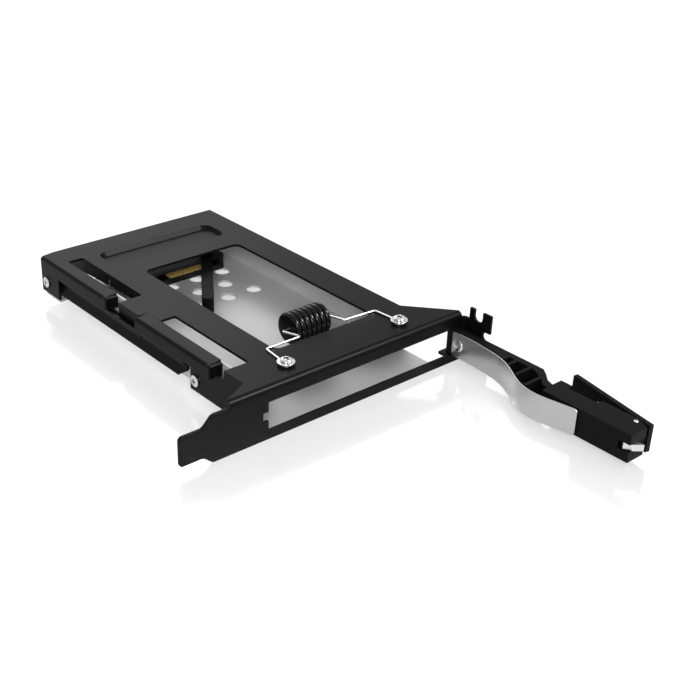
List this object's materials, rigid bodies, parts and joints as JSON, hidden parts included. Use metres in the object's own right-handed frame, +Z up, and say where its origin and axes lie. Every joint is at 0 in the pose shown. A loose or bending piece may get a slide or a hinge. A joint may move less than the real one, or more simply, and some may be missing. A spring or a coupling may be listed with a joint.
{
  "type": "expansion slot drive bay",
  "caption": "Slot-bracket rack for a 2.5-inch drive: black cover and steel tray, roller on a bent wire, ejector arm, rear connector board, and a sprung, latching door.",
  "frame": {"origin": "on the slot bracket's front face and lower edge, at the middle of the drive bay", "axes": "+X along the slot bracket from its tongue to its screw tab, +Y into the computer, +Z up through the cover plate"},
  "size_m": [0.1234, 0.2113, 0.0234],
  "materials": {
    "black_paint": "satin black baked paint, slightly textured",
    "bare_steel": "zinc-plated sheet steel, satin",
    "bright_nickel": "bright nickel plate",
    "spring_steel": "smooth spring steel",
    "black_plastic": "moulded, fine matte",
    "black_rubber": "smooth, slightly glossy",
    "connector_plastic": "moulded, smooth",
    "contact_gold": "gold plate",
    "board_laminate": "solder resist over glass laminate"
  },
  "bodies": {
    "rack": {"cover_bracket": "black_paint", "drive_tray": "bare_steel", "hinge_pin": "bright_nickel", "roller_wire": "spring_steel", "wire_washers": "bright_nickel", "wire_screws": "bright_nickel", "side_screws": "bright_nickel", "drive_connector": "connector_plastic", "drive_contacts": "contact_gold", "circuit_board": "board_laminate", "board_standoffs": "bright_nickel", "board_screws": "bright_nickel", "cable_connector": "connector_plastic", "ejector_stud": "bright_nickel", "ejector_clip": "spring_steel", "ejector_spring": "spring_steel"},
    "door": {"door_arm": "black_plastic", "leaf_spring": "spring_steel", "leaf_rivet": "bright_nickel", "lever_pin": "bright_nickel", "lever_spring": "spring_steel"},
    "lever": {"latch_lever": "black_plastic", "latch_hook": "spring_steel"},
    "ejector": {"ejector_arm": "black_plastic"},
    "roller": {"ribbed_roller": "black_rubber"}
  },
  "joints": [
    {"name": "door_hinge", "type": "hinge", "parent": "rack", "child": "door", "pos_m": [0.04682, 0.0016, 0], "axis": [0, 0, -1], "range_deg": [0, 90]},
    {"name": "lever_pivot", "type": "hinge", "parent": "door", "child": "lever", "pos_m": [0.04542, -0.07582, 0], "axis": [0, 0, 1], "range_deg": [0, 11], "stiffness_Nm_per_rad": 0.02, "springref_deg": -22.92, "deforming": ["lever_spring"]},
    {"name": "ejector_pivot", "type": "hinge", "parent": "rack", "child": "ejector", "pos_m": [0.0227, 0.1134, 0], "axis": [0, 0, -1], "range_deg": [0, 55], "stiffness_Nm_per_rad": 0.02, "springref_deg": -22.92},
    {"name": "roller_spin", "type": "hinge", "parent": "rack", "child": "roller", "pos_m": [0.0017, 0.0274, 0.01785], "axis": [1, 0, 0], "continuous": true}
  ]
}
